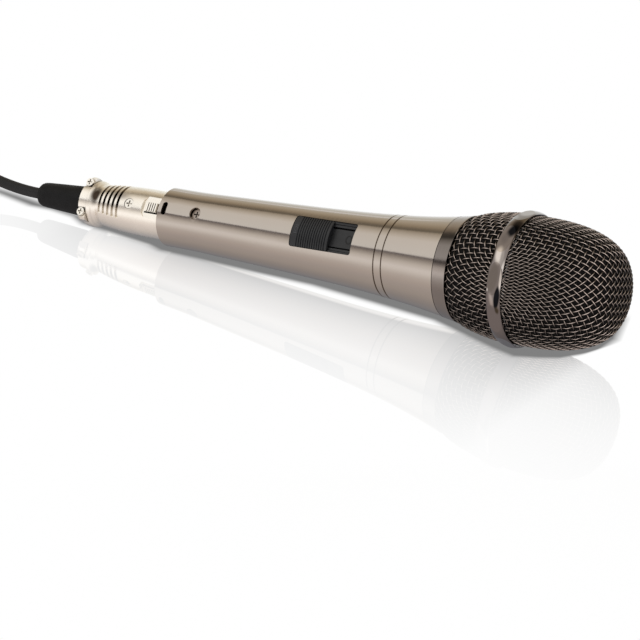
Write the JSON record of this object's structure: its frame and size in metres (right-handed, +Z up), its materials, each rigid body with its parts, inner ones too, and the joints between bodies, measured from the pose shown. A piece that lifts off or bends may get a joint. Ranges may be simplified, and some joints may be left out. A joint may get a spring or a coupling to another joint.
{
  "type": "dynamic microphone",
  "caption": "Handheld dynamic vocal microphone with tapered metal handle, slide switch, domed wire grille with faceted band, and latched three-pin cable plug.",
  "frame": {"origin": "on the axis of the microphone, at the rear end of the cylindrical tail of the handle", "axes": "+X along the axis toward the grille, +Z up with the microphone lying down on a flat of its band; the switch side faces -Y and up, 54 degrees from +Z"},
  "size_m": [0.2903, 0.05, 0.0486],
  "materials": {
    "satin_nickel": "champagne nickel finish, fine satin",
    "collar_nickel": "brushed nickel, slightly darker than the handle",
    "band_dark_chrome": "polished dark nickel",
    "mesh_wire": "dark bronze nickel wire",
    "steel": "plain",
    "magnet_metal": "nickel plated",
    "bright_nickel": "polished nickel plate on zinc",
    "screw_steel": "bright plated",
    "contact_metal": "silver plated brass",
    "black_plastic": "moulded, matt",
    "foam": "open cell foam and cloth",
    "black_rubber": "matt",
    "board": "circuit board laminate",
    "reed_glass": "glass tube with metal blades",
    "copper": "bare and enamelled copper wire",
    "film": "thin polyester film",
    "brass": "plain",
    "lead_red": "wire insulation",
    "lead_white": "wire insulation"
  },
  "bodies": {
    "handle": {"handle_shell": "satin_nickel", "switch_tray": "black_plastic", "switch_board": "board", "reed_switch": "reed_glass", "board_screw": "screw_steel", "packing_foam": "foam", "xlr_insert": "black_plastic", "pin_signal": "contact_metal", "pin_ground": "contact_metal", "insert_screw": "screw_steel", "lead_out_hot": "lead_red", "lead_out_cold": "lead_white", "lead_capsule_hot": "lead_red", "lead_capsule_cold": "lead_white", "shock_mount": "black_rubber", "capsule_chamber": "black_plastic", "terminal_plate": "board", "yoke": "steel", "magnet": "magnet_metal", "pole_piece": "steel", "capsule_frame": "black_plastic", "diaphragm_clamp": "brass", "capsule_cap": "black_plastic", "acoustic_cloth": "foam"},
    "slider": {"switch_slider": "black_plastic", "switch_magnet": "magnet_metal"},
    "grille": {"grille_collar": "collar_nickel", "grille_rear_mesh": "mesh_wire", "rim_ring": "steel", "grille_band": "band_dark_chrome", "grille_front_mesh": "mesh_wire", "foam_front": "foam", "foam_rear": "foam"},
    "coil": {"voice_coil": "copper", "diaphragm": "film"},
    "plug": {"plug_shell": "bright_nickel", "plug_insert": "black_plastic", "socket_contact": "contact_metal", "plug_screw": "screw_steel", "latch_leaf": "steel", "clamp_saddle": "bright_nickel", "clamp_screw": "screw_steel", "cable_boot": "black_rubber", "cable_jacket": "black_rubber", "cable_shield": "copper", "core_hot": "lead_red", "core_cold": "lead_white", "drain_wire": "copper"},
    "latch": {"latch_button": "bright_nickel"}
  },
  "joints": [
    {"name": "switch_slide", "type": "slide", "parent": "handle", "child": "slider", "axis": [0.9986, -0.0424, 0.0308], "range_m": [0, 0.0104]},
    {"name": "grille_lift_off", "type": "slide", "parent": "handle", "child": "grille", "axis": [1, 0, 0], "range_m": [0, 0.03]},
    {"name": "plug_slide", "type": "slide", "parent": "handle", "child": "plug", "axis": [-1, 0, 0], "range_m": [0, 0.025], "deforming": ["latch_leaf"]},
    {"name": "latch_press", "type": "slide", "parent": "plug", "child": "latch", "axis": [0, 0.809, -0.5878], "range_m": [0, 0.0009], "stiffness_N_per_m": 900, "deforming": ["latch_leaf"]},
    {"name": "coil_travel", "type": "slide", "parent": "handle", "child": "coil", "axis": [1, 0, 0], "range_m": [-0.0003, 0.0003], "stiffness_N_per_m": 500, "deforming": ["diaphragm"]}
  ]
}
